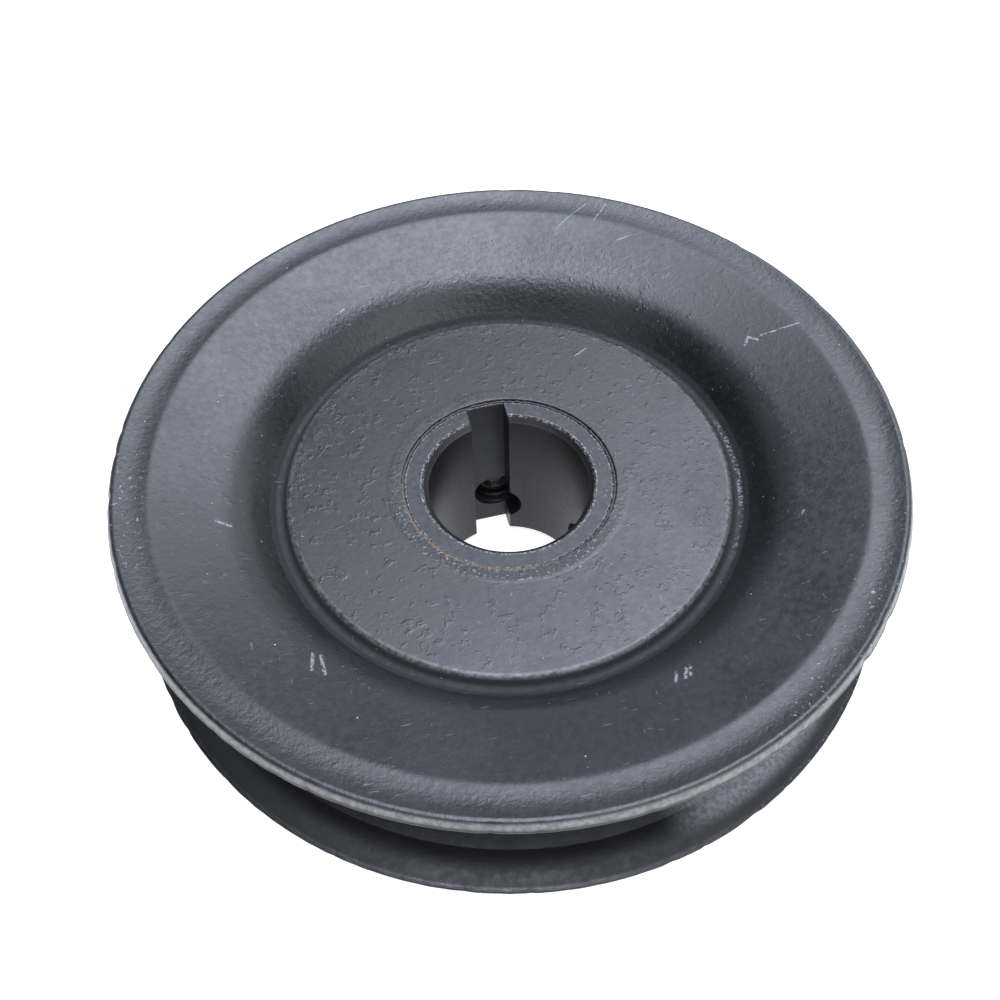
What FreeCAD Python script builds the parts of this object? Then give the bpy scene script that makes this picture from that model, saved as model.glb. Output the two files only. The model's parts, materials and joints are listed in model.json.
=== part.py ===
import FreeCAD, Part
import os

import Sketcher

# V-belt pulley: two identical pressed-steel discs set back to back on a turned steel hub.
# Millimetres. +Z runs along the bore, from the hub's rear face (z = 0) to the dished front.
# The keyway lies on the +Y side. All angles are in degrees.

os.makedirs("parts", exist_ok=True)
doc = FreeCAD.newDocument("v_belt_pulley")

SIZES = {
    # pressed discs, measured from the rim inwards
    "rim_diameter": 120.0,
    "rim_width": 26.4,
    "sheet_thickness": 2.2,
    "curl_breadth": 2.65,
    "curl_angle": 21.0,
    "lip_breadth": 2.66,
    "cone_breadth": 12.8,
    "groove_half_angle": 18.0,
    "wall_angle": 52.0,
    "seam_breadth": 1.0,
    "step_angle": 60.0,
    "plateau_rise": 1.45,
    # bends of the pressed discs
    "rim_edge_radius": 0.8,
    "rim_burr_radius": 0.25,
    "curl_radius": 9.0,
    "crease_radius": 0.6,
    "shoulder_radius": 7.0,
    "foot_radius": 0.8,
    "step_foot_radius": 0.4,
    "seam_edge_radius": 1.2,
    "plateau_edge_radius": 1.0,
    "hole_edge_radius": 0.25,
    # turned hub
    "bore_diameter": 25.4,
    "bore_chamfer": 1.05,
    "spigot_wall": 3.9,
    "spigot_recess": 0.35,
    "spigot_chamfer": 0.3,
    "collar_wall": 9.55,
    "collar_length": 24.4,
    "collar_chamfer": 1.2,
    "keyway_width": 6.35,
    "keyway_depth": 3.3,
    # braze filler and weld that hold the discs on the hub
    "braze_gap": 0.25,
    "braze_recess": 0.6,
    "weld_leg": 3.2,
    # set screws and their tapped holes, threads drawn as plain cylinders
    "screw_diameter": 7.9,
    "screw_hole_clearance": 0.05,
    "screw_length": 8.0,
    "screw_height": 8.0,
    "screw_end_chamfer": 0.6,
    "screw_point_chamfer": 1.3,
    "screw_cup_depth": 1.2,
    "socket_flats": 3.97,
    "socket_depth": 3.6,
    "key_screw_angle": 5.4,
    "key_screw_backset": 2.5,
    "shaft_screw_angle": 87.0,
    "shaft_screw_backset": 1.8,
}

sheet = doc.addObject("Spreadsheet::Sheet", "Sizes")
for row, (alias, number) in enumerate(SIZES.items(), start=1):
    sheet.set(f"A{row}", alias)
    sheet.set(f"B{row}", str(number))
    sheet.setAlias(f"B{row}", alias)
doc.recompute()


def size(alias):
    return f"Sizes.{alias}"


def value(expression):
    return float(sheet.evalExpression(expression))


# Radii and heights that several pieces share, as expressions of the sheet's cells.
BORE_R = f"({size('bore_diameter')} / 2)"
SPIGOT_R = f"({BORE_R} + {size('spigot_wall')})"
COLLAR_R = f"({BORE_R} + {size('collar_wall')})"
KEYWAY_FLOOR = f"({BORE_R} + {size('keyway_depth')})"
SEAT_R = f"({SPIGOT_R} + {size('braze_gap')})"
SCREW_R = f"({size('screw_diameter')} / 2)"
SCREW_HOLE_R = f"({SCREW_R} + {size('screw_hole_clearance')})"
PLATEAU_FACE = f"({size('sheet_thickness')} + {size('plateau_rise')})"
GROOVE_PLANE = f"({size('collar_length')} + {PLATEAU_FACE})"
SPIGOT_END = f"({GROOVE_PLANE} + {PLATEAU_FACE} - {size('spigot_recess')})"


def new_body(label):
    body = doc.addObject("PartDesign::Body", label)
    body.Label = label
    return body


def origin_plane(body, role):
    return next(item for item in body.Origin.OriginFeatures if item.Role == role)


def new_sketch(body, name, role):
    sketch = body.newObject("Sketcher::SketchObject", name)
    sketch.AttachmentSupport = [(origin_plane(body, role), "")]
    sketch.MapMode = "FlatFace"
    return sketch


def bind(sketch, kind, geometry, point, expression):
    """Hold a point's X or Y distance from the sketch origin to an expression."""
    index = sketch.addConstraint(
        Sketcher.Constraint(kind, -1, 1, geometry, point, value(expression))
    )
    sketch.setExpression(f"Constraints[{index}]", expression)


def outline(body, name, role, corners):
    """A closed outline of straight lines, each corner bound to the sheet."""
    sketch = new_sketch(body, name, role)
    points = [FreeCAD.Vector(value(x), value(y), 0) for x, y in corners]
    for start, end in zip(points, points[1:] + points[:1]):
        sketch.addGeometry(Part.LineSegment(start, end), False)
    for line in range(len(points)):
        following = (line + 1) % len(points)
        sketch.addConstraint(Sketcher.Constraint("Coincident", line, 2, following, 1))
    for line, (x, y) in enumerate(corners):
        bind(sketch, "DistanceX", line, 1, x)
        bind(sketch, "DistanceY", line, 1, y)
    return sketch


def disk_outline(body, name, role, x, y, radius):
    """A circle whose centre and radius are bound to the sheet."""
    sketch = new_sketch(body, name, role)
    centre = FreeCAD.Vector(value(x), value(y), 0)
    circle = Part.Circle(centre, FreeCAD.Vector(0, 0, 1), value(radius))
    sketch.addGeometry(circle, False)
    bind(sketch, "DistanceX", 0, 3, x)
    bind(sketch, "DistanceY", 0, 3, y)
    index = sketch.addConstraint(Sketcher.Constraint("Radius", 0, value(radius)))
    sketch.setExpression(f"Constraints[{index}]", radius)
    return sketch


def revolve(body, name, corners):
    sketch = outline(body, f"{name}_outline", "XZ_Plane", corners)
    turned = body.newObject("PartDesign::Revolution", name)
    turned.Profile = sketch
    turned.ReferenceAxis = (sketch, ["V_Axis"])
    turned.Angle = 360
    doc.recompute()
    return turned


def cut(body, name, sketch, depth=None, reverse=False):
    """Pocket the sketch into the body, through everything or to a bound depth."""
    before = body.Shape.Volume
    pocket = body.newObject("PartDesign::Pocket", name)
    pocket.Profile = sketch
    pocket.Reversed = reverse
    if depth is None:
        pocket.Type = "ThroughAll"
    else:
        pocket.Type = "Length"
        pocket.setExpression("Length", depth)
    doc.recompute()
    if body.Shape.Volume >= before:
        raise RuntimeError(f"{name} cuts nothing")
    return pocket


def ring_edges(feature, radius, height):
    """Names of the circular edges about the Z axis with this radius and height."""
    found = []
    for index, edge in enumerate(feature.Shape.Edges, start=1):
        curve = edge.Curve
        if not isinstance(curve, Part.Circle) or edge.Length < curve.Radius:
            continue
        miss = max(abs(curve.Radius - value(radius)), abs(curve.Center.z - value(height)))
        if miss < 1e-4 and curve.Center.sub(FreeCAD.Vector(0, 0, curve.Center.z)).Length < 1e-4:
            found.append(f"Edge{index}")
    if not found:
        raise RuntimeError(f"{feature.Name} has no edge at {value(radius)}, {value(height)}")
    return found


def dress(body, kind, name, alias, places, width="Radius"):
    """Fillet or chamfer the edges at the (radius, height) places by one bound width."""
    base = body.Tip
    edges = []
    for radius, height in places:
        edges += ring_edges(base, radius, height)
    dressed = body.newObject(f"PartDesign::{kind}", name)
    dressed.Base = (base, edges)
    dressed.setExpression(width, alias)
    doc.recompute()
    return dressed


def sheet_corner(radius, height, first, second):
    """The under-face corner one sheet thickness below a bend of the upper face.

    first and second are the slopes of the upper face before and after the bend."""
    stretch = f"{size('sheet_thickness')} / (1 + cos({second} - {first}))"
    return (
        f"({radius} + {stretch} * (sin({first}) + sin({second})))",
        f"({height} - {stretch} * (cos({first}) + cos({second})))",
    )


def pressed_disc(label):
    """One stamping, seam face on z = 0 and dished side up: hole, raised centre plateau,
    seam ring that lies against the other disc, groove wall, belt cone and the flat rim
    lip, which curls up again to an edge cut square to the sheet."""
    cone, curl = size("groove_half_angle"), size("curl_angle")
    wall, step = size("wall_angle"), size("step_angle")
    flat = "0"
    rim_r = f"({size('rim_diameter')} / 2)"
    rim_top = f"({size('rim_width')} / 2)"
    rim = (f"({rim_r} - {size('sheet_thickness')} * sin({curl}))", rim_top)
    curl_foot = (
        f"({rim[0]} - {size('curl_breadth')})",
        f"({rim_top} - {size('curl_breadth')} * tan({curl}))",
    )
    crease = (f"({curl_foot[0]} - {size('lip_breadth')})", curl_foot[1])
    shoulder = (
        f"({crease[0]} - {size('cone_breadth')})",
        f"({crease[1]} - {size('cone_breadth')} * tan({cone}))",
    )
    foot = (
        f"({shoulder[0]} - ({shoulder[1]} - {size('sheet_thickness')}) / tan({wall}))",
        size("sheet_thickness"),
    )
    step_foot = (f"({foot[0]} - {size('seam_breadth')})", size("sheet_thickness"))
    plateau = (
        f"({step_foot[0]} - {size('plateau_rise')} / tan({step}))",
        PLATEAU_FACE,
    )
    under_curl = sheet_corner(*curl_foot, flat, curl)
    under_crease = sheet_corner(*crease, cone, flat)
    under_shoulder = sheet_corner(*shoulder, wall, cone)
    under_foot = sheet_corner(*foot, flat, wall)
    under_step_foot = sheet_corner(*step_foot, f"-{step}", flat)
    under_plateau = sheet_corner(*plateau, flat, f"-{step}")
    under_rim = (rim_r, f"({rim_top} - {size('sheet_thickness')} * cos({curl}))")
    under_hole = (SEAT_R, size("plateau_rise"))

    body = new_body(label)
    corners = [
        (SEAT_R, PLATEAU_FACE), plateau, step_foot, foot, shoulder, crease, curl_foot,
        rim, under_rim, under_curl, under_crease, under_shoulder, under_foot,
        under_step_foot, under_plateau, under_hole,
    ]
    revolve(body, f"{label}_sheet", corners)

    # A bend's outside radius is its inside radius plus the sheet.
    def outside(alias):
        return f"({size(alias)} + {size('sheet_thickness')})"

    bends = [
        ("curl", curl_foot, under_curl, size("curl_radius"), outside("curl_radius")),
        ("crease", crease, under_crease, outside("crease_radius"), size("crease_radius")),
        ("shoulder", shoulder, under_shoulder, outside("shoulder_radius"),
         size("shoulder_radius")),
        ("foot", foot, under_foot, size("foot_radius"), outside("foot_radius")),
        ("step_foot", step_foot, under_step_foot, size("step_foot_radius"),
         size("seam_edge_radius")),
        ("plateau_edge", plateau, under_plateau, size("plateau_edge_radius"),
         size("plateau_edge_radius")),
    ]
    for name, upper, under, upper_radius, under_radius in bends:
        dress(body, "Fillet", f"{label}_{name}", upper_radius, [upper])
        dress(body, "Fillet", f"{label}_under_{name}", under_radius, [under])
    dress(body, "Fillet", f"{label}_rim_edge", size("rim_edge_radius"), [rim])
    dress(body, "Fillet", f"{label}_rim_burr", size("rim_burr_radius"), [under_rim])
    dress(body, "Fillet", f"{label}_hole_edge", size("hole_edge_radius"),
          [(SEAT_R, PLATEAU_FACE)])
    return body


def screw_hole(body, name, angle):
    """A round hole from the bore out through the collar, turned from the keyway by angle."""
    sketch = disk_outline(
        body, f"{name}_outline", "XZ_Plane", "0", size("screw_height"), SCREW_HOLE_R
    )
    turn = FreeCAD.Rotation(FreeCAD.Vector(0, 1, 0), -value(angle))
    sketch.AttachmentOffset = FreeCAD.Placement(FreeCAD.Vector(0, 0, 0), turn)
    sketch.setExpression("AttachmentOffset.Rotation.Angle", f"-{angle}")
    cut(body, name, sketch, f"{COLLAR_R} + {size('collar_chamfer')}")


def hub_body():
    """Turned collar with a spigot through both discs, broached keyway and two tapped holes."""
    body = new_body("hub")
    revolve(body, "hub_blank", [
        (BORE_R, "0"), (COLLAR_R, "0"), (COLLAR_R, size("collar_length")),
        (SPIGOT_R, size("collar_length")), (SPIGOT_R, SPIGOT_END), (BORE_R, SPIGOT_END),
    ])
    dress(body, "Chamfer", "bore_mouths", size("bore_chamfer"),
          [(BORE_R, "0"), (BORE_R, SPIGOT_END)], "Size")
    dress(body, "Chamfer", "spigot_edge", size("spigot_chamfer"),
          [(SPIGOT_R, SPIGOT_END)], "Size")
    dress(body, "Chamfer", "collar_edge", size("collar_chamfer"), [(COLLAR_R, "0")], "Size")
    half = f"({size('keyway_width')} / 2)"
    keyway = outline(body, "keyway_outline", "XY_Plane", [
        (f"-{half}", "0"), (half, "0"), (half, KEYWAY_FLOOR), (f"-{half}", KEYWAY_FLOOR),
    ])
    cut(body, "keyway", keyway, reverse=True)
    screw_hole(body, "key_screw_hole", size("key_screw_angle"))
    screw_hole(body, "shaft_screw_hole", size("shaft_screw_angle"))
    return body


def set_screw(label, angle, tip_radius):
    """A cup-point socket set screw, point towards the bore at the given radius."""
    body = new_body(label)
    length = size("screw_length")
    revolve(body, f"{label}_blank", [
        ("0", size("screw_cup_depth")), (f"({SCREW_R} - {size('screw_point_chamfer')})", "0"),
        (SCREW_R, size("screw_point_chamfer")),
        (SCREW_R, f"({length} - {size('screw_end_chamfer')})"),
        (f"({SCREW_R} - {size('screw_end_chamfer')})", length), ("0", length),
    ])
    corner_r = f"({size('socket_flats')} / sqrt(3))"
    socket = outline(body, f"{label}_socket_outline", "XY_Plane", [
        (f"{corner_r} * cos({60 * side})", f"{corner_r} * sin({60 * side})")
        for side in range(6)
    ])
    socket.setExpression("AttachmentOffset.Base.z", length)
    cut(body, f"{label}_socket", socket, size("socket_depth"))
    outward = FreeCAD.Rotation(FreeCAD.Vector(0, 0, 1), 90 - value(angle)).multVec(
        FreeCAD.Vector(1, 0, 0)
    )
    body.Placement = FreeCAD.Placement(
        outward * value(tip_radius) + FreeCAD.Vector(0, 0, value(size("screw_height"))),
        FreeCAD.Rotation(FreeCAD.Vector(0, 0, 1), outward),
    )
    return body


front_disc = pressed_disc("front_disc")
front_disc.setExpression("Placement.Base.z", GROOVE_PLANE)

rear_disc = pressed_disc("rear_disc")
rear_disc.Placement.Rotation = FreeCAD.Rotation(FreeCAD.Vector(1, 0, 0), 180)
rear_disc.setExpression("Placement.Base.z", GROOVE_PLANE)

hub = hub_body()

# Filler between the spigot and the two discs, run up to just below the front plateau.
braze = new_body("hub_braze")
BRAZE_TOP = f"({GROOVE_PLANE} + {PLATEAU_FACE} - {size('braze_recess')})"
revolve(braze, "braze_film", [
    (SPIGOT_R, size("collar_length")), (SEAT_R, size("collar_length")),
    (SEAT_R, BRAZE_TOP), (SPIGOT_R, BRAZE_TOP),
])

# Fillet weld in the corner between the collar and the rear disc.
weld = new_body("rear_weld")
revolve(weld, "weld_fillet", [
    (COLLAR_R, f"({size('collar_length')} - {size('weld_leg')})"),
    (f"({COLLAR_R} + {size('weld_leg')})", size("collar_length")),
    (COLLAR_R, size("collar_length")),
])

key_screw = set_screw(
    "key_set_screw", size("key_screw_angle"), f"({KEYWAY_FLOOR} + {size('key_screw_backset')})"
)
shaft_screw = set_screw(
    "shaft_set_screw", size("shaft_screw_angle"), f"({BORE_R} + {size('shaft_screw_backset')})"
)

doc.recompute()
for item in doc.Objects:
    if "Invalid" in item.State or "Error" in item.State:
        raise RuntimeError(f"{item.Name} failed: {item.State}")
nodes = [front_disc, rear_disc, hub, braze, weld, key_screw, shaft_screw]
for node in nodes:
    if node.Shape.isNull() or not node.Shape.isValid():
        raise RuntimeError(f"{node.Label} has no valid shape")
for node in nodes:
    node.Shape.exportStep(f"parts/{node.Label}.step")
    print(f"{node.Label}: {node.Shape.Volume:.1f} mm3")
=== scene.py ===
import json
import math
import random

import bmesh
import bpy
import numpy as np
from mathutils import Matrix, Vector


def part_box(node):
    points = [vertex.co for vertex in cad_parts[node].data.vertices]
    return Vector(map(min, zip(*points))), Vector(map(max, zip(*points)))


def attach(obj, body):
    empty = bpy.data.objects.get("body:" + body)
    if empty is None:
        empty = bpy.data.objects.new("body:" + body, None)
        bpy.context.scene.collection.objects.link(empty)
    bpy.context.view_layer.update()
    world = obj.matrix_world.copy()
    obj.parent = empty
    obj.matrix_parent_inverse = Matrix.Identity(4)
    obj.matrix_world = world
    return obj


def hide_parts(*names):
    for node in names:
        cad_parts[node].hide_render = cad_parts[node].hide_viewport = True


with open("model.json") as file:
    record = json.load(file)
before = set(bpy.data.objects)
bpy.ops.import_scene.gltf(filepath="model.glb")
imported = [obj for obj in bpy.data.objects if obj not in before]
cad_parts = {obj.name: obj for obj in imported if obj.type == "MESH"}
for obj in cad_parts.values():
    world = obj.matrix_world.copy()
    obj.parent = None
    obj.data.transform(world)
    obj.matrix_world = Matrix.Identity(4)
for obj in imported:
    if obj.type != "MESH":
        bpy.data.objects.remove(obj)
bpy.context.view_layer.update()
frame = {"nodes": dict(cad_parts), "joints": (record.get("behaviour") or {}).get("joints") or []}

nodes = frame["nodes"]
joints = {joint["name"]: joint for joint in frame["joints"]}
MM = 0.001

# Sizes below are in millimetres and angles in degrees, unless a name says otherwise.
GROOVE_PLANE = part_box("front_disc")[0].z / MM
PLATEAU_FACE = 3.65
SPIGOT_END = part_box("hub")[1].z / MM
COLLAR_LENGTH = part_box("rear_weld")[1].z / MM
COLLAR_R = 22.25
SPIGOT_R = 16.6
SEAT_R = 16.85
BORE_R = 12.7

# The pressed sheet, measured from the rim inwards.
RIM_R = 60.0
RIM_HALF_WIDTH = 13.2
SHEET = 2.2
CURL_BREADTH, CURL_ANGLE = 2.65, 21.0
LIP_BREADTH = 2.66
CONE_BREADTH, CONE_ANGLE = 12.8, 18.0
WALL_ANGLE = 52.0
SEAM_BREADTH = 1.0
STEP_ANGLE = 60.0
PLATEAU_RISE = PLATEAU_FACE - SHEET

# Mesh points round the axis, and the leg of the rear weld.
DISC_TURNS = 960
BRAZE_TURNS = 720
WELD_TURNS = 1440
WELD_LEG = 3.2

# Camera: close and high, on the side away from the keyway, a little to the left.
CAMERA_PIVOT = Vector((0, 0, 0.040925))
CAMERA_DISTANCE = 0.17506
CAMERA_ELEVATION = math.radians(50.61)
CAMERA_SWING = math.radians(-13.7)
CAMERA_AIM = (("Y", 0.0078), ("X", -0.0495), ("Z", -0.0139))
LENS_MM = 41.76


# ---------------------------------------------------------------- camera, light and floor

def swung(right, far, up):
    """A direction given to the right of, away from and above the camera, in the row frame."""
    return (Matrix.Rotation(CAMERA_SWING, 3, "Z") @ Vector((right, far, up))).normalized()


def add_camera():
    data = bpy.data.cameras.new("photo_camera")
    data.lens = LENS_MM
    data.sensor_width = 36.0
    data.clip_start = 0.01
    camera = bpy.data.objects.new("photo_camera", data)
    bpy.context.scene.collection.objects.link(camera)
    away = Vector((0, -math.cos(CAMERA_ELEVATION), math.sin(CAMERA_ELEVATION)))
    right = Vector((1, 0, 0))
    axes = Matrix((right, away.cross(right), away)).transposed()
    for axis, turn in CAMERA_AIM:
        axes = axes @ Matrix.Rotation(turn, 3, axis)
    swing = Matrix.Rotation(CAMERA_SWING, 3, "Z")
    place = swing @ (away * CAMERA_DISTANCE) + CAMERA_PIVOT
    camera.matrix_world = Matrix.Translation(place) @ (swing @ axes).to_4x4()
    bpy.context.scene.camera = camera


class Tree:
    """Short names for the nodes of one material or world."""

    def __init__(self, owner):
        owner.use_nodes = True
        self.nodes = owner.node_tree.nodes
        self.links = owner.node_tree.links

    def put(self, socket, value):
        if isinstance(value, bpy.types.NodeSocket):
            self.links.new(value, socket)
        elif socket.type == "RGBA" and len(value) == 3:
            socket.default_value = (*value, 1)
        else:
            socket.default_value = value

    def node(self, kind, inputs=(), **settings):
        made = self.nodes.new(kind)
        for name, value in settings.items():
            setattr(made, name, value)
        for key, value in dict(inputs).items():
            self.put(made.inputs[key], value)
        return made

    def math(self, operation, first, second=0.0, clamp=False):
        made = self.node("ShaderNodeMath", {0: first, 1: second}, operation=operation,
                         use_clamp=clamp)
        return made.outputs[0]

    def add(self, *terms):
        total = terms[0]
        for term in terms[1:]:
            total = self.math("ADD", total, term)
        return total

    def times(self, *terms):
        total = terms[0]
        for term in terms[1:]:
            total = self.math("MULTIPLY", total, term)
        return total

    def inverse(self, value):
        return self.math("SUBTRACT", 1.0, value, clamp=True)

    def vector(self, operation, first, second=(0, 0, 0), output=0):
        made = self.node("ShaderNodeVectorMath", {0: first, 1: second}, operation=operation)
        return made.outputs[output]

    def scaled(self, vector, factors):
        return self.vector("MULTIPLY", vector, factors)

    def ramp(self, value, low, high, to_low=0.0, to_high=1.0):
        """to_low below low, to_high above high, and a smooth step between."""
        made = self.node("ShaderNodeMapRange", {
            "Value": value, "From Min": low, "From Max": high, "To Min": to_low,
            "To Max": to_high}, interpolation_type="SMOOTHSTEP")
        return made.outputs[0]

    def band(self, value, low, high, soft):
        """1 between low and high, fading to 0 over soft on either side."""
        rise = self.ramp(value, low - soft, low)
        fall = self.ramp(value, high, high + soft, 1.0, 0.0)
        return self.times(rise, fall)

    def noise(self, vector, scale, detail=2.0, roughness=0.5, distortion=0.0):
        made = self.node("ShaderNodeTexNoise", {
            "Vector": vector, "Scale": scale, "Detail": detail, "Roughness": roughness,
            "Distortion": distortion})
        return made.outputs[0]

    def cells(self, vector, scale, output="Distance"):
        made = self.node("ShaderNodeTexVoronoi", {"Vector": vector, "Scale": scale})
        return made.outputs[output]

    def mix(self, factor, first, second):
        """Colour mix: first where factor is 0, second where it is 1."""
        made = self.node("ShaderNodeMix", data_type="RGBA")
        self.put(made.inputs[0], factor)
        self.put(made.inputs[6], first)
        self.put(made.inputs[7], second)
        return made.outputs[2]


COOL = (0.87, 0.95, 1.10)
PALE = (0.95, 0.98, 1.04)
# Each light: direction (right, far, up), where its glow starts and is full as the cosine of
# the angle from that direction, radiance, colour.
LIGHTS = [
    ((0.00, 0.00, 1.00), 0.866, 1.00, 7.2, COOL),
    ((0.02, -0.22, 0.98), 0.940, 1.00, 4.5, COOL),
    ((0.00, -0.42, 0.91), 0.900, 1.00, 1.4, COOL),
    ((0.12, 0.36, 0.93), 0.866, 1.00, 3.8, COOL),
    ((0.36, 0.45, 0.82), 0.866, 1.00, 4.6, COOL),
    ((-0.60, 0.50, 0.60), 0.866, 1.00, 0.7, COOL),
    ((0.00, 0.97, 0.25), 0.866, 1.00, 1.3, COOL),
    ((0.70, 0.70, 0.20), 0.866, 1.00, 2.1, PALE),
    ((0.50, -0.60, 0.60), 0.866, 1.00, 1.4, PALE),
    ((-0.50, -0.60, 0.60), 0.866, 1.00, 1.3, PALE),
    ((0.75, -0.60, 0.12), 0.60, 1.00, 2.4, PALE),
]
AMBIENT = (0.008, 0.008, 0.009)


def add_world():
    world = bpy.data.worlds.new("studio")
    bpy.context.scene.world = world
    tree = Tree(world)
    way = tree.node("ShaderNodeTexCoord").outputs["Generated"]
    total = AMBIENT
    for direction, start, full, radiance, colour in LIGHTS:
        cosine = tree.vector("DOT_PRODUCT", way, swung(*direction), output=1)
        glow = tree.ramp(cosine, start, full, 0.0, radiance)
        shone = tree.node("ShaderNodeVectorMath", {0: colour}, operation="SCALE")
        tree.put(shone.inputs["Scale"], glow)
        total = tree.vector("ADD", total, shone.outputs[0])
    tree.put(tree.nodes["Background"].inputs["Color"], total)


def add_floor():
    bpy.ops.mesh.primitive_plane_add(size=6)
    floor = bpy.context.object
    floor.name = "floor"
    material = bpy.data.materials.new("floor_pale")
    tree = Tree(material)
    shader = tree.nodes["Principled BSDF"]
    tree.put(shader.inputs["Base Color"], (0.36, 0.36, 0.36))
    tree.put(shader.inputs["Roughness"], 0.9)
    tree.put(shader.inputs["Specular IOR Level"], 0.0)
    tree.put(shader.inputs["Emission Color"], (1.0, 1.0, 1.0))
    tree.put(shader.inputs["Emission Strength"], 0.86)
    floor.data.materials.append(material)


def add_backdrop():
    """A white room behind the floor, which lights nothing and shows in no reflection."""
    bpy.ops.mesh.primitive_uv_sphere_add(radius=2.9, segments=48, ring_count=24)
    backdrop = bpy.context.object
    backdrop.name = "backdrop"
    material = bpy.data.materials.new("backdrop_white")
    tree = Tree(material)
    shader = tree.nodes["Principled BSDF"]
    tree.put(shader.inputs["Base Color"], (0.0, 0.0, 0.0))
    tree.put(shader.inputs["Specular IOR Level"], 0.0)
    tree.put(shader.inputs["Emission Color"], (1.0, 1.0, 1.0))
    tree.put(shader.inputs["Emission Strength"], 1.0)
    backdrop.data.materials.append(material)
    backdrop.visible_diffuse = False
    backdrop.visible_glossy = False
    backdrop.visible_transmission = False
    backdrop.visible_shadow = False


# ---------------------------------------------------------------- mesh helpers

def unit(vector):
    return vector / np.linalg.norm(vector)


def rounded(corners, radii, arc_step=6.0, straight_step=0.7):
    """A closed outline with each corner rounded by its radius (0 leaves it sharp)."""
    corners = [np.array(corner, float) for corner in corners]
    path = []
    for index, (corner, radius) in enumerate(zip(corners, radii)):
        back = unit(corners[index - 1] - corner)
        ahead = unit(corners[(index + 1) % len(corners)] - corner)
        half = math.acos(float(np.clip(back @ ahead, -1, 1))) / 2
        if not radius:
            path.append([corner])
            continue
        centre = corner + unit(back + ahead) * radius / math.sin(half)
        start = corner + back * radius / math.tan(half) - centre
        end = corner + ahead * radius / math.tan(half) - centre
        first = math.atan2(start[1], start[0])
        turn = (math.atan2(end[1], end[0]) - first + math.pi) % (2 * math.pi) - math.pi
        steps = max(2, math.ceil(abs(math.degrees(turn)) / arc_step))
        path.append([
            centre + radius * np.array((math.cos(first + turn * k / steps),
                                        math.sin(first + turn * k / steps)))
            for k in range(steps + 1)
        ])
    points = []
    for arc, following in zip(path, path[1:] + path[:1]):
        points += arc
        gap = following[0] - arc[-1]
        steps = max(1, math.ceil(float(np.linalg.norm(gap)) / straight_step))
        points += [arc[-1] + gap * k / steps for k in range(1, steps)]
    return np.array(points)


def add_mesh(name, points_mm, faces, sharp_angle=40.0):
    mesh = bpy.data.meshes.new(name)
    mesh.from_pydata((np.asarray(points_mm) * MM).tolist(), [], faces)
    shape = bmesh.new()
    shape.from_mesh(mesh)
    bmesh.ops.recalc_face_normals(shape, faces=shape.faces)
    limit = math.radians(sharp_angle)
    for face in shape.faces:
        face.smooth = True
    for edge in shape.edges:
        edge.smooth = edge.calc_face_angle(0.0) < limit
    shape.to_mesh(mesh)
    shape.free()
    made = bpy.data.objects.new(name, mesh)
    bpy.context.scene.collection.objects.link(made)
    return made


def wrap(rows, columns, closed_rows=True):
    """Quads of a grid of points whose columns run round, and whose rows may close too."""
    faces = []
    for row in range(rows if closed_rows else rows - 1):
        following = (row + 1) % rows
        for column in range(columns):
            beside = (column + 1) % columns
            faces.append((row * columns + column, row * columns + beside,
                          following * columns + beside, following * columns + column))
    return faces


def lathe(name, outline, turns, shape=None, sharp_angle=40.0):
    """The closed (radius, height) outline turned about Z; shape may shift each point."""
    angle = np.linspace(0, 2 * math.pi, turns, endpoint=False)[None, :]
    radius = outline[:, :1] + 0 * angle
    height = outline[:, 1:] + 0 * angle
    if shape:
        radius, height = shape(radius, height, angle)
    points = np.stack((radius * np.cos(angle), radius * np.sin(angle), height), axis=-1)
    faces = wrap(len(outline), turns)
    return add_mesh(name, points.reshape(-1, 3), faces, sharp_angle)


def waves(angle, seed, lowest, count, size):
    """A smooth uneven ripple round the axis, with the same result each run."""
    dice = random.Random(seed)
    total = 0 * angle
    for order in range(lowest, lowest + count):
        total = total + dice.uniform(-1, 1) * np.cos(order * angle + dice.uniform(0, 7))
    return size * total / math.sqrt(count)


def smooth(value, low, high):
    part = np.clip((value - low) / (high - low), 0, 1)
    return part * part * (3 - 2 * part)


# ---------------------------------------------------------------- pressed discs

def under_corner(corner, first, second):
    """The under-face corner one sheet below a bend from slope first to slope second."""
    first, second = math.radians(first), math.radians(second)
    stretch = SHEET / (1 + math.cos(second - first))
    return (corner[0] + stretch * (math.sin(first) + math.sin(second)),
            corner[1] - stretch * (math.cos(first) + math.cos(second)))


def slope(angle):
    return math.tan(math.radians(angle))


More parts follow.
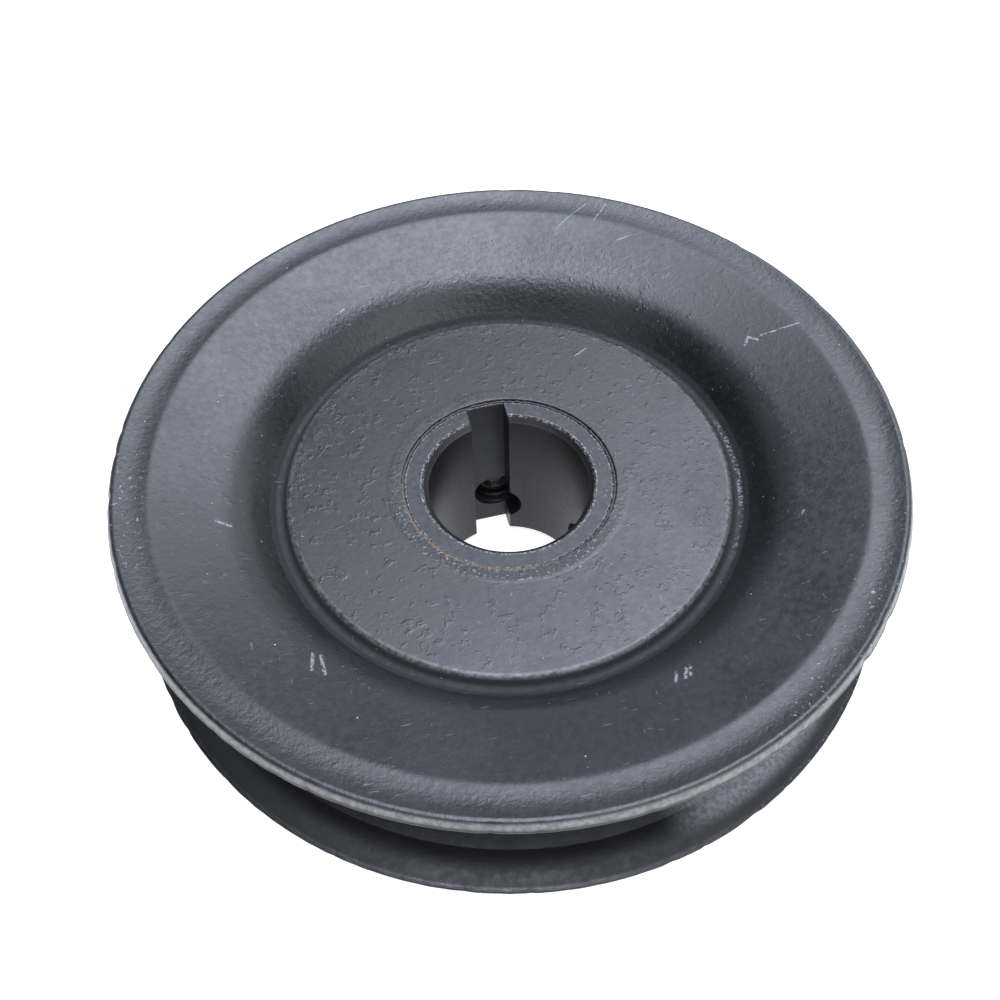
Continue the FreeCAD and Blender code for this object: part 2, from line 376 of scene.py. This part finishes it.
def disc_outline():
    """The sheet's section: seam face on height 0, dished side up."""
    rim = (RIM_R - SHEET * math.sin(math.radians(CURL_ANGLE)), RIM_HALF_WIDTH)
    curl_foot = (rim[0] - CURL_BREADTH, rim[1] - CURL_BREADTH * slope(CURL_ANGLE))
    crease = (curl_foot[0] - LIP_BREADTH, curl_foot[1])
    shoulder = (crease[0] - CONE_BREADTH, crease[1] - CONE_BREADTH * slope(CONE_ANGLE))
    foot = (shoulder[0] - (shoulder[1] - SHEET) / slope(WALL_ANGLE), SHEET)
    step_foot = (foot[0] - SEAM_BREADTH, SHEET)
    plateau = (step_foot[0] - PLATEAU_RISE / slope(STEP_ANGLE), PLATEAU_FACE)
    # corner, slopes before and after it, radius on the upper and on the under face
    bends = [
        (plateau, 0, -STEP_ANGLE, 1.25, 1.0),
        (step_foot, -STEP_ANGLE, 0, 0.9, 1.2),
        (foot, 0, WALL_ANGLE, 0.9, 3.0),
        (shoulder, WALL_ANGLE, CONE_ANGLE, 9.2, 7.0),
        (crease, CONE_ANGLE, 0, 2.8, 0.6),
        (curl_foot, 0, CURL_ANGLE, 9.0, 11.2),
    ]
    corners = [(SEAT_R, PLATEAU_FACE)] + [bend[0] for bend in bends] + [rim]
    radii = [0.25] + [bend[3] for bend in bends] + [0.8]
    corners.append((RIM_R, rim[1] - SHEET * math.cos(math.radians(CURL_ANGLE))))
    radii.append(0.25)
    for corner, first, second, _, radius in reversed(bends):
        corners.append(under_corner(corner, first, second))
        radii.append(radius)
    corners.append((SEAT_R, PLATEAU_FACE - SHEET))
    radii.append(0.0)
    return rounded(corners, radii)


def rim_nicks(seed, placed=()):
    """(azimuth in radians, half width, depth) of the dents in a rim's cut edge."""
    dice = random.Random(seed)
    nicks = [(math.radians(azimuth), width, depth) for azimuth, width, depth in placed]
    for _ in range(46):
        nicks.append((dice.uniform(0, 2 * math.pi), dice.uniform(0.3, 1.2),
                      dice.uniform(0.03, 0.14)))
    return nicks


def worn_sheet(seed, placed=()):
    """Shape function: a slightly warped pressing with a ragged, nicked edge."""
    nicks = rim_nicks(seed, placed)

    def shape(radius, height, angle):
        outer = smooth(radius, 38.0, RIM_R)
        height = height + outer * waves(angle, seed, 2, 4, 0.07)
        radius = radius + outer * waves(angle, seed + 1, 2, 5, 0.03)
        edge = smooth(radius, RIM_R - 1.3, RIM_R - 0.2)
        radius = radius + edge * waves(angle, seed + 2, 60, 70, 0.022)
        step = smooth(radius, 33.6, 34.4) * smooth(-radius, -36.4, -35.4)
        height = height + step * waves(angle, seed + 3, 40, 70, 0.012)
        for azimuth, width, depth in nicks:
            apart = (angle - azimuth + math.pi) % (2 * math.pi) - math.pi
            bite = edge * np.exp(-(apart * RIM_R / width) ** 2)
            radius = radius - depth * bite
            height = height - 0.5 * depth * bite
        return radius, height

    return shape


def add_discs(paint_front, paint_rear, shaded_groove_front, shaded_groove_rear):
    """Each pressing has its dished face in one material and its groove side in a darker, less shiny
    copy of it, which is painted shade for the inside of the groove.
    """
    outline = disc_outline()
    placed = [(175, 0.8, 0.2), (-45, 1.1, 0.22), (-52, 0.7, 0.2), (-66, 0.5, 0.16)]
    front = outline + (0, GROOVE_PLANE)
    rear = outline * (1, -1) + (0, GROOVE_PLANE)
    for name, node, ring, shape, out, paint, groove in (
            ("front_pressing", "front_disc", front, worn_sheet(11, placed), 1, paint_front,
             shaded_groove_front),
            ("rear_pressing", "rear_disc", rear, worn_sheet(23), -1, paint_rear,
             shaded_groove_rear)):
        disc = lathe(name, ring, DISC_TURNS, shape)
        disc.data.materials.append(paint)
        disc.data.materials.append(groove)
        for face in disc.data.polygons:
            radius = math.hypot(face.center.x, face.center.y) / MM
            face.material_index = int(face.normal.z * out < 0 and radius < RIM_R - 0.6)
        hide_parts(node)
        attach(disc, "pulley")


# ---------------------------------------------------------------- braze and weld

def add_braze(material):
    """Filler run into the gap between the spigot and the front plateau, proud where it ran
    over at the lower left of the view."""
    top = GROOVE_PLANE + PLATEAU_FACE
    outline = rounded(
        [(SPIGOT_R - 0.1, COLLAR_LENGTH), (SEAT_R + 0.1, COLLAR_LENGTH),
         (SEAT_R + 0.1, top - 0.35), (SPIGOT_R - 0.1, top - 0.35)], [0, 0, 0.12, 0.12],
        arc_step=20, straight_step=1.2)

    def shape(radius, height, angle):
        flood = smooth(np.cos(angle - math.radians(-135)), 0.1, 0.9)
        upper = smooth(height, top - 1.4, top - 0.4)
        outer = smooth(radius, SPIGOT_R, SEAT_R)
        height = height + upper * (0.34 * flood + waves(angle, 5, 20, 90, 0.10))
        radius = radius + upper * outer * (0.35 * flood + waves(angle, 6, 20, 90, 0.10))
        return radius, height

    filler = lathe("braze_filler", outline, BRAZE_TURNS, shape)
    filler.data.materials.append(material)
    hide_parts("hub_braze")
    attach(filler, "pulley")


def add_weld(material):
    """A hand-run fillet weld: overlapping ripples, uneven legs and one stop crater."""
    steps = 14
    ripple_count = 92
    angle = np.linspace(0, 2 * math.pi, WELD_TURNS, endpoint=False)
    rows = []
    for step in range(steps + 1):
        across = step / steps
        lean = 0.055 * (4 * across * (1 - across))
        phase = ((angle + lean) * ripple_count / (2 * math.pi)) % 1.0
        ripple = 0.10 * (1 - phase) ** 0.7 * math.sin(math.pi * across) ** 0.5
        bulge = 0.42 * math.sin(math.pi * across)
        crater = 0.5 * np.exp(-((angle - 2.1) / 0.05) ** 2) * math.sin(math.pi * across)
        reach = WELD_LEG + waves(angle, 7, 5, 30, 0.10)
        out = bulge + ripple - crater
        radius = COLLAR_R + reach * across + out * math.sqrt(0.5)
        height = COLLAR_LENGTH - reach * (1 - across) - out * math.sqrt(0.5)
        rows.append(np.stack((radius * np.cos(angle), radius * np.sin(angle), height), -1))
    hidden = (COLLAR_R - 0.15, COLLAR_LENGTH + 0.1)
    rows.append(np.stack((hidden[0] * np.cos(angle), hidden[0] * np.sin(angle),
                          hidden[1] + 0 * angle), -1))
    bead = add_mesh("weld_bead", np.concatenate(rows), wrap(len(rows), WELD_TURNS), 70)
    bead.data.materials.append(material)
    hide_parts("rear_weld")
    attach(bead, "pulley")


# ---------------------------------------------------------------- set screws

PITCH = 1.41
SCREW_R = 3.66
THREAD_DEPTH = 0.62
SCREW_LENGTH = 8.0
SOCKET_FLATS = 3.97
SOCKET_DEPTH = 3.6
HOLE_R = 4.0
SCREW_HEIGHT = 8.0


def along_axis(axis):
    """Turns local +Z to the screw's axis."""
    return Vector((0, 0, 1)).rotation_difference(axis).to_matrix().to_4x4()


def add_screw(node, joint, tip_radius, material):
    """A cup-point hexagon-socket screw with a rolled thread."""
    around = 72
    angle = np.linspace(0, 2 * math.pi, around, endpoint=False)
    hexagon = SOCKET_FLATS / 2 / np.cos((angle % (math.pi / 3)) - math.pi / 6)
    rings = [(0.01 + 0 * angle, 0.9), (1.5 + 0 * angle, 0.75), (2.15 + 0 * angle, 0.0),
             (2.45 + 0 * angle, 0.0)]
    thread_rows = 110
    for row in range(thread_rows + 1):
        height = 0.55 + (SCREW_LENGTH - 0.85) * row / thread_rows
        phase = (height / PITCH - angle / (2 * math.pi)) % 1.0
        flank = np.clip(np.abs(2 * phase - 1) * 1.25 - 0.12, 0, 1)
        cone_in = 2.45 + height * 1.15
        cone_out = 2.95 + (SCREW_LENGTH - height) * 1.1
        radius = SCREW_R - THREAD_DEPTH * flank
        rings.append((np.minimum(radius, min(cone_in, cone_out)), height))
    rings += [(3.1 + 0 * angle, SCREW_LENGTH - 0.08), (2.95 + 0 * angle, SCREW_LENGTH),
              (hexagon + 0.14, SCREW_LENGTH), (hexagon, SCREW_LENGTH - 0.12),
              (hexagon, SCREW_LENGTH - SOCKET_DEPTH),
              (hexagon * 0.8, SCREW_LENGTH - SOCKET_DEPTH - 0.05),
              (0.01 + 0 * angle, SCREW_LENGTH - SOCKET_DEPTH - 0.9)]
    points = np.concatenate([
        np.stack((radius * np.cos(angle), radius * np.sin(angle), height + 0 * angle), -1)
        for radius, height in rings])
    faces = wrap(len(rings), around, closed_rows=False)
    faces.append(tuple(range(around)))
    faces.append(tuple(range(len(points) - around, len(points))))
    screw = add_mesh(node + "_threaded", points, faces, 34)
    axis = Vector(joints[joint]["axis"]).normalized()
    tip = (axis * tip_radius + Vector((0, 0, SCREW_HEIGHT))) * MM
    screw.data.transform(Matrix.Translation(tip) @ along_axis(axis))
    screw.data.materials.append(material)
    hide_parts(node)
    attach(screw, node)


def add_tapping(name, joint, start, end, material):
    """The tapped hole's thread: one helical ridge on the hole's wall, fading at both ends."""
    axis = Vector(joints[joint]["axis"]).normalized()
    per_turn = 48
    count = int((end - start) / PITCH * per_turn)
    points = []
    for step in range(count + 1):
        part = step / count
        fade = min(1.0, part * 8, (1 - part) * 8)
        turn = 2 * math.pi * step / per_turn
        place = start + (end - start) * part
        for radius, shift in ((HOLE_R + 0.08, -0.5), (HOLE_R + 0.08 - 0.33 * fade, -0.06),
                              (HOLE_R + 0.08 - 0.33 * fade, 0.06), (HOLE_R + 0.08, 0.5)):
            points.append((radius * math.cos(turn), radius * math.sin(turn), place + shift))
    faces = [(0, 1, 2, 3), tuple(range(4 * count, 4 * count + 4))]
    for step in range(count):
        for corner in range(4):
            beside = (corner + 1) % 4
            faces.append((4 * step + corner, 4 * step + beside,
                          4 * step + 4 + beside, 4 * step + 4 + corner))
    ridge = add_mesh(name, points, faces, 30)
    ridge.data.transform(
        Matrix.Translation((0, 0, SCREW_HEIGHT * MM)) @ along_axis(axis))
    ridge.data.materials.append(material)
    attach(ridge, "pulley")


# ---------------------------------------------------------------- materials

class Surface(Tree):
    """A material whose nodes work in millimetres of the row frame."""

    def __init__(self, name):
        self.material = bpy.data.materials.new(name)
        super().__init__(self.material)
        self.shader = self.nodes["Principled BSDF"]
        coordinates = self.node("ShaderNodeTexCoord").outputs["Object"]
        self.place = self.scaled(coordinates, (1000, 1000, 1000))
        split = self.node("ShaderNodeSeparateXYZ", {0: self.place})
        self.height = split.outputs[2]
        flat = self.scaled(self.place, (1, 1, 0))
        self.radius = self.vector("LENGTH", flat, output=1)
        self.heading = self.vector("NORMALIZE", flat)
        normal = self.node("ShaderNodeNewGeometry").outputs["Normal"]
        self.normal_up = self.node("ShaderNodeSeparateXYZ", {0: normal}).outputs[2]

    def towards(self, azimuth, start, full):
        """1 on the side that faces azimuth, by the cosine of the angle from it."""
        turn = math.radians(azimuth)
        cosine = self.vector("DOT_PRODUCT", self.heading,
                             (math.cos(turn), math.sin(turn), 0), output=1)
        return self.ramp(cosine, start, full)

    def spot(self, x, y, reach):
        """1 at a place on the face, fading to 0 at reach."""
        away = self.vector("DISTANCE", self.scaled(self.place, (1, 1, 0)), (x, y, 0), output=1)
        return self.ramp(away, 0.25 * reach, reach, 1.0, 0.0)

    def scratch(self, first, last, width):
        """1 on the straight line between two places on the face."""
        flat = self.scaled(self.place, (1, 1, 0))
        start = Vector((*first, 0))
        run = Vector((*last, 0)) - start
        along = self.vector("SUBTRACT", flat, start)
        part = self.vector("DOT_PRODUCT", along, run / run.length_squared, output=1)
        held = self.math("MINIMUM", self.math("MAXIMUM", part, 0.0), 1.0)
        nearest = self.node("ShaderNodeVectorMath", {0: run}, operation="SCALE")
        self.put(nearest.inputs["Scale"], held)
        away = self.vector("DISTANCE", along, nearest.outputs[0], output=1)
        return self.ramp(away, 0.3 * width, width, 1.0, 0.0)

    def specks(self, scale, share, size):
        """Dots in a share of the cells of a random pattern, size as a part of a cell."""
        chosen = self.math("LESS_THAN", self.node(
            "ShaderNodeSeparateColor",
            {0: self.cells(self.place, scale, "Color")}).outputs[0], share)
        return self.times(chosen, self.ramp(self.cells(self.place, scale), 0.4 * size, size,
                                            1.0, 0.0))

    def most(self, *masks):
        total = masks[0]
        for mask in masks[1:]:
            total = self.math("MAXIMUM", total, mask)
        return total

    def finish(self, colour, roughness, relief, metallic=0.0):
        """relief is in millimetres."""
        bump = self.node("ShaderNodeBump", {"Height": relief, "Distance": MM})
        self.put(self.shader.inputs["Base Color"], colour)
        self.put(self.shader.inputs["Roughness"], roughness)
        self.put(self.shader.inputs["Metallic"], metallic)
        self.put(self.shader.inputs["Normal"], bump.outputs[0])
        return self.material


BLACK_PAINT = (0.0066, 0.0070, 0.0088)
# painted shade: the groove sides of both pressings take this darker black, standing in for the
# shade inside the groove
SHADED_GROOVE_BLACK = (0.0022, 0.0016, 0.0021)
# pale grey of dust, chips and scratches, also used as a painted reflection in the groove
DUST_AND_REFLECTION_GREY = (0.30, 0.31, 0.33)
BARE_STEEL = (0.46, 0.45, 0.43)
PITTED_COLOUR = (0.012, 0.011, 0.012)

# Scratches in the front face's paint: start, end, width.
SCRATCHES = [
    ((-34.2, -25.9), (-34.7, -28.8), 0.34), ((-33.2, -26.4), (-33.1, -29.7), 0.38),
    ((-44.8, -0.6), (-42.8, -1.6), 0.30), ((43.5, 12.9), (44.4, 14.2), 0.35),
    ((44.4, 14.2), (45.6, 13.0), 0.30), ((46.2, 13.6), (52.3, 13.0), 0.22),
    ((12.2, -42.6), (12.9, -41.0), 0.30), ((13.6, -42.4), (14.3, -40.9), 0.35),
    ((14.4, -42.2), (15.0, -40.6), 0.28), ((27.2, 46.0), (30.5, 49.2), 0.16),
    ((20.5, 46.6), (27.0, 50.3), 0.14), ((30.2, 41.0), (32.6, 41.2), 0.22),
    ((25.4, 23.2), (29.2, 20.8), 0.20), ((17.5, 23.0), (19.8, 24.2), 0.2),
    ((-20.3, 38.2), (-19.1, 38.9), 0.2), ((38.6, -21.5), (39.8, -20.6), 0.25),
]
# Pitted patches on the plateau: centre and reach.
PITTED = [(24.0, -5.6, 3.0), (26.8, -8.4, 2.2), (27.4, -14.2, 3.6), (11.0, 29.6, 4.0),
          (17.5, 26.0, 4.2), (4.7, 31.2, 2.6), (-26.0, 16.0, 3.5)]


def front_marks(surface, face, offset, rough_patch):
    """The dished front's own scratches, rubbed streaks and dust, and its pitted patches."""
    upward = surface.times(surface.ramp(offset, 1.0, 2.0), face)
    lines = surface.most(*(surface.scratch(*scratch) for scratch in SCRATCHES))
    broken = surface.ramp(surface.noise(surface.place, 2.2, 3.0, 0.6), 0.38, 0.55)
    across = surface.noise(surface.scaled(surface.place, (0.35, 3.2, 1.0)), 1.0, 2.0)
    along = surface.noise(surface.scaled(surface.place, (3.4, 0.4, 1.0)), 1.0, 2.0)
    rubbed = surface.most(surface.ramp(across, 0.70, 0.76), surface.ramp(along, 0.72, 0.78))
    dust = surface.times(surface.band(surface.radius, 36.1, 36.6, 0.25),
                         surface.towards(-14, 0.90, 0.99), face,
                         surface.ramp(rough_patch, 0.5, 0.62))
    marks = surface.most(surface.times(0.22, rubbed, upward),
                         surface.times(0.6, lines, upward, broken), surface.times(0.6, dust))
    pitted = surface.most(*(surface.spot(*place) for place in PITTED))
    pits = surface.times(pitted, upward, surface.ramp(rough_patch, 0.52, 0.66))
    return marks, pits


def coat_relief(surface, face, lip, mottle, grain):
    """The coat's hammered texture in millimetres: strongest on the lip and the far wall,
    with low lumps and dots on the plateau."""
    peel = surface.noise(surface.place, 1.25, 2.0, 0.5)
    fine_peel = surface.noise(surface.place, 2.9, 2.0, 0.5)
    strong = surface.most(
        surface.times(lip, 0.42),
        surface.times(surface.towards(95, 0.45, 0.98),
                      surface.band(surface.radius, 36.0, 47.0, 4.0), face),
        surface.times(surface.spot(-22, -40, 14), 0.4))
    peel_height = surface.add(0.021, surface.times(0.085, strong))
    plateau = surface.times(face, surface.ramp(surface.radius, 42.0, 46.0, 1.0, 0.35))
    lumps = surface.ramp(surface.noise(surface.place, 0.55, 3.0, 0.6), 0.56, 0.70)
    dots = surface.specks(0.55, 0.30, 0.12)
    return surface.add(
        surface.times(lumps, 0.034, plateau), surface.times(dots, 0.030, plateau),
        surface.times(peel, peel_height), surface.times(fine_peel, 0.40, peel_height),
        surface.times(mottle, 0.012), surface.times(grain, 0.0022))


def disc_paint(name, front, specular):
    """Satin black paint on a pressing, worn at the rim and at the plateau's edge; front adds
    the marks of the dished front, and specular is how strongly the coat shines, kept low in
    the groove copies as painted shade."""
    surface = Surface(name)
    surface.put(surface.shader.inputs["Specular IOR Level"], specular)
    offset = surface.math("SUBTRACT", surface.height, GROOVE_PLANE)
    level = surface.math("ABSOLUTE", offset)
    outside = surface.ramp(
        surface.times(surface.math("SIGN", offset), surface.normal_up), -0.10, 0.10)
    upper_rim = surface.ramp(level, 10.6, 11.0)
    face = surface.most(outside, surface.times(upper_rim, surface.ramp(
        surface.radius, RIM_R - 1.0, RIM_R - 0.5)))

    patches = surface.noise(surface.place, 0.06, 3.0, 0.6)
    mottle = surface.noise(surface.place, 0.9, 4.0, 0.65)
    grain = surface.noise(surface.place, 5.0, 2.0, 0.5)
    tone = surface.add(0.30, surface.times(0.60, patches), surface.times(0.60, mottle),
                       surface.times(0.20, grain))
    toned = surface.node("ShaderNodeVectorMath", {0: BLACK_PAINT}, operation="SCALE")
    surface.put(toned.inputs["Scale"], tone)
    # painted shade: faces inside the groove get the darker groove black
    colour = surface.mix(face, SHADED_GROOVE_BLACK, toned.outputs[0])

    # bare metal: the cut edge of the rim, patchy, and the plateau's rounded edge
    ragged = surface.noise(surface.place, 1.4, 3.0, 0.6)
    cut_edge = surface.times(surface.ramp(surface.radius, RIM_R - 0.85, RIM_R - 0.45),
                             surface.ramp(level, 11.4, 12.0))
    rim_wear = surface.times(cut_edge, surface.ramp(ragged, 0.34, 0.66, 0.32, 0.62))
    on_step = surface.times(surface.band(surface.radius, 34.25, 34.75, 0.35),
                            surface.ramp(level, PLATEAU_FACE - 0.9, PLATEAU_FACE - 0.2), face)
    step_wear = surface.times(on_step, surface.ramp(ragged, 0.30, 0.62))

    # paint chips: lip and rim at the lower right and left of the view, crust round the hub
    rough_patch = surface.noise(surface.place, 1.7, 4.0, 0.72)
    lip = surface.times(surface.ramp(surface.radius, 53.5, 56.0), face)
    chipped = surface.times(lip, surface.most(
        surface.towards(-50, 0.93, 0.985), surface.towards(177, 0.97, 0.99)))
    crust = surface.times(surface.band(surface.radius, 16.9, 18.3, 1.1), face)
    if front:
        crust = surface.times(crust, surface.add(0.25, surface.towards(-110, -0.1, 0.8)))
    chips = surface.most(
        surface.times(chipped, surface.ramp(rough_patch, 0.60, 0.70)),
        surface.times(0.55, crust, surface.ramp(rough_patch, 0.55, 0.66)))
    specks = surface.most(surface.specks(0.33, 0.16, 0.055), surface.specks(0.62, 0.10, 0.07))
    marks = surface.times(face, surface.most(chips, specks))
    relief = coat_relief(surface, face, lip, mottle, grain)
    if front:
        added, pits = front_marks(surface, face, offset, rough_patch)
        marks = surface.most(marks, added)
        colour = surface.mix(pits, colour, PITTED_COLOUR)
        relief = surface.add(relief, surface.times(pits, -0.02))
    relief = surface.add(
        relief, surface.times(crust, rough_patch, 0.16), surface.times(marks, 0.012),
        surface.times(rim_wear, ragged, 0.03), surface.times(step_wear, ragged, 0.02))
    colour = surface.mix(surface.times(0.75, marks), colour, DUST_AND_REFLECTION_GREY)

    # painted reflection: pale grey on the side of the groove that faces up, at the lower right of
    # the view, standing in for the glossy coat reflecting the bright surroundings
    groove_painted_reflection = surface.times(
        surface.band(surface.radius, 45.0, 55.5, 3.0), surface.inverse(face),
        surface.ramp(surface.normal_up, 0.4, 0.8), surface.towards(-62, 0.94, 0.995),
        surface.ramp(ragged, 0.35, 0.62, 0.55, 1.0))
    colour = surface.mix(surface.times(0.75, groove_painted_reflection), colour, DUST_AND_REFLECTION_GREY)
    wear = surface.most(surface.times(0.62, rim_wear), surface.times(0.09, step_wear))
    colour = surface.mix(wear, colour, BARE_STEEL)

    # dull in the valley beside the plateau, in the groove and where the paint is marked
    valley = surface.times(face, surface.band(surface.radius, 35.1, 37.6, 0.6),
                           surface.ramp(level, 3.0, 3.6, 1.0, 0.0))
    uneven = surface.add(surface.ramp(mottle, 0.35, 0.65, 0.0, 0.10),
                         surface.ramp(patches, 0.35, 0.65, 0.0, 0.08))
    roughness = surface.add(0.28, uneven, surface.times(0.40, valley),
                            surface.times(0.15, marks),
                            surface.times(surface.inverse(face), 0.12))
    return surface.finish(colour, roughness, relief, surface.times(rim_wear, 0.3))


def hub_paint():
    """Thin black coat over turned steel, rubbed through at the edges; bare, broached bore."""
    surface = Surface("hub_paint")
    mottle = surface.noise(surface.place, 1.1, 4.0, 0.65)
    fine = surface.noise(surface.place, 4.0, 3.0, 0.6)
    ragged = surface.noise(surface.place, 2.2, 5.0, 0.7)
    bore = surface.ramp(surface.radius, BORE_R + 0.02, BORE_R + 0.12, 1.0, 0.0)
    keyway = surface.times(surface.ramp(surface.radius, BORE_R + 0.1, BORE_R + 0.3),
                           surface.band(surface.height, 0.3, SPIGOT_END - 0.3, 0.1),
                           surface.ramp(surface.radius, 16.1, 16.3, 1.0, 0.0))
    top = surface.ramp(surface.height, SPIGOT_END - 0.35, SPIGOT_END - 0.2)
    # axial draw marks: noise that is fine round the bore and long along it
    streaks = surface.noise(surface.scaled(surface.place, (3.0, 3.0, 0.06)), 1.0, 3.0, 0.6)
    turned = surface.noise(surface.scaled(surface.place, (0.05, 0.05, 6.0)), 1.0, 2.0, 0.5)

    paint = surface.mix(mottle, (0.008, 0.009, 0.011), (0.022, 0.023, 0.028))
    ring = surface.mix(surface.ramp(mottle, 0.35, 0.70), (0.007, 0.008, 0.010),
                       (0.024, 0.025, 0.029))
    colour = surface.mix(top, paint, ring)
    # the bore is made darker towards its top, less so further down
    darker_to_top = surface.add(surface.ramp(surface.height, 14.0, 29.0, 0.0, 0.8),
                        surface.times(0.35, mottle))
    bare_bore = surface.mix(streaks, (0.007, 0.006, 0.007), (0.030, 0.028, 0.029))
    colour = surface.mix(bore, colour, surface.mix(darker_to_top, bare_bore, (0.006, 0.005, 0.006)))
    colour = surface.mix(keyway, colour, (0.006, 0.006, 0.0065))
    edges = surface.most(
        surface.times(surface.band(surface.radius, BORE_R + 0.75, BORE_R + 1.2, 0.18), top),
        surface.times(surface.band(surface.radius, SPIGOT_R - 0.35, SPIGOT_R - 0.1, 0.15), top),
        surface.times(surface.ramp(surface.radius, COLLAR_R - 1.5, COLLAR_R - 1.2), surface.ramp(
            surface.radius, COLLAR_R - 0.3, COLLAR_R, 1.0, 0.0)))
    worn = surface.times(edges, surface.ramp(ragged, 0.46, 0.62))
    chips = surface.times(surface.ramp(ragged, 0.62, 0.70), top, surface.most(
        surface.towards(-5, 0.90, 0.97), surface.towards(113, 0.97, 0.99)))
    bare = surface.most(surface.times(0.34, worn), surface.times(0.75, chips))
    colour = surface.mix(bare, colour, (0.50, 0.49, 0.47))
    relief = surface.add(surface.times(0.030, mottle), surface.times(0.004, fine),
                         surface.times(0.010, streaks, bore),
                         surface.times(0.012, turned, surface.inverse(bore)),
                         surface.times(0.02, bare))
    surface.put(surface.shader.inputs["Specular IOR Level"], 0.36)
    roughness = surface.add(0.34, surface.times(0.18, mottle), surface.times(-0.05, bore))
    return surface.finish(colour, roughness, relief,
                          surface.most(surface.times(0.5, bare), surface.times(0.25, bore)))


def braze_metal():
    """Dull filler: brown and brassy where it ran over, black with paint elsewhere."""
    surface = Surface("braze_metal")
    mottle = surface.noise(surface.place, 2.4, 5.0, 0.7)
    fine = surface.noise(surface.place, 7.0, 3.0, 0.6)
    brassy = surface.times(0.7, surface.towards(-135, 0.35, 0.85), surface.ramp(mottle, 0.40, 0.55))
    colour = surface.mix(mottle, (0.004, 0.004, 0.005), (0.028, 0.028, 0.031))
    colour = surface.mix(brassy, colour, surface.mix(fine, (0.030, 0.020, 0.013),
                                                     (0.23, 0.165, 0.11)))
    relief = surface.add(surface.times(0.10, mottle), surface.times(0.02, fine))
    return surface.finish(colour, surface.add(0.42, surface.times(0.3, fine)), relief,
                          surface.times(0.4, brassy))


def weld_paint():
    """Dark paint over the weld, mottled, with brown patches and raised spatter dots."""
    surface = Surface("weld_paint")
    mottle = surface.noise(surface.place, 1.2, 5.0, 0.7)
    fine = surface.noise(surface.place, 5.0, 3.0, 0.6)
    spatter = surface.specks(0.8, 0.22, 0.12)
    colour = surface.mix(mottle, (0.018, 0.018, 0.021), (0.050, 0.050, 0.056))
    colour = surface.mix(surface.times(surface.ramp(mottle, 0.58, 0.68), 0.5), colour,
                         (0.20, 0.17, 0.15))
    relief = surface.add(surface.times(0.07, mottle), surface.times(0.012, fine),
                         surface.times(0.06, spatter))
    return surface.finish(colour, surface.add(0.34, surface.times(0.22, mottle)), relief)


def screw_steel():
    """Black oxide, its colour also darkened as painted shade for the screws down in their holes,
    with pale rubbed patches at random.
    """
    surface = Surface("screw_steel")
    mottle = surface.noise(surface.place, 2.0, 4.0, 0.65)
    fine = surface.noise(surface.place, 9.0, 3.0, 0.6)
    rubbed = surface.ramp(surface.noise(surface.place, 3.4, 4.0, 0.7), 0.52, 0.70)
    # painted shade: the black-oxide colour is kept darker for the screws sitting in shaded holes
    colour = surface.mix(mottle, (0.028, 0.027, 0.028), (0.075, 0.073, 0.072))
    colour = surface.mix(surface.times(0.7, rubbed), colour, (0.42, 0.40, 0.38))
    relief = surface.add(surface.times(0.012, mottle), surface.times(0.004, fine))
    return surface.finish(colour, surface.add(0.30, surface.times(0.2, fine)), relief,
                          surface.add(0.55, surface.times(0.3, rubbed)))


# ---------------------------------------------------------------- the scene

add_camera()
add_world()
add_floor()
add_backdrop()

steel = screw_steel()
hub_coat = hub_paint()
# the two groove copies are painted shade: a darker black and a weaker shine than the dished faces
add_discs(disc_paint("front_disc_paint", True, 0.46),
          disc_paint("rear_disc_paint", False, 0.46),
          disc_paint("front_groove_shaded_paint", False, 0.06),
          disc_paint("rear_groove_shaded_paint", False, 0.34))
add_braze(braze_metal())
add_weld(weld_paint())
nodes["hub"].data.materials.clear()
nodes["hub"].data.materials.append(hub_coat)
add_screw("key_set_screw", "key_set_screw_travel", 18.5, steel)
add_screw("shaft_set_screw", "shaft_set_screw_travel", 14.5, steel)
add_tapping("key_hole_thread", "key_set_screw_travel", 16.6, 21.4, hub_coat)
add_tapping("shaft_hole_thread", "shaft_set_screw_travel", 13.4, 21.4, hub_coat)

bpy.context.scene.view_settings.view_transform = "Standard"
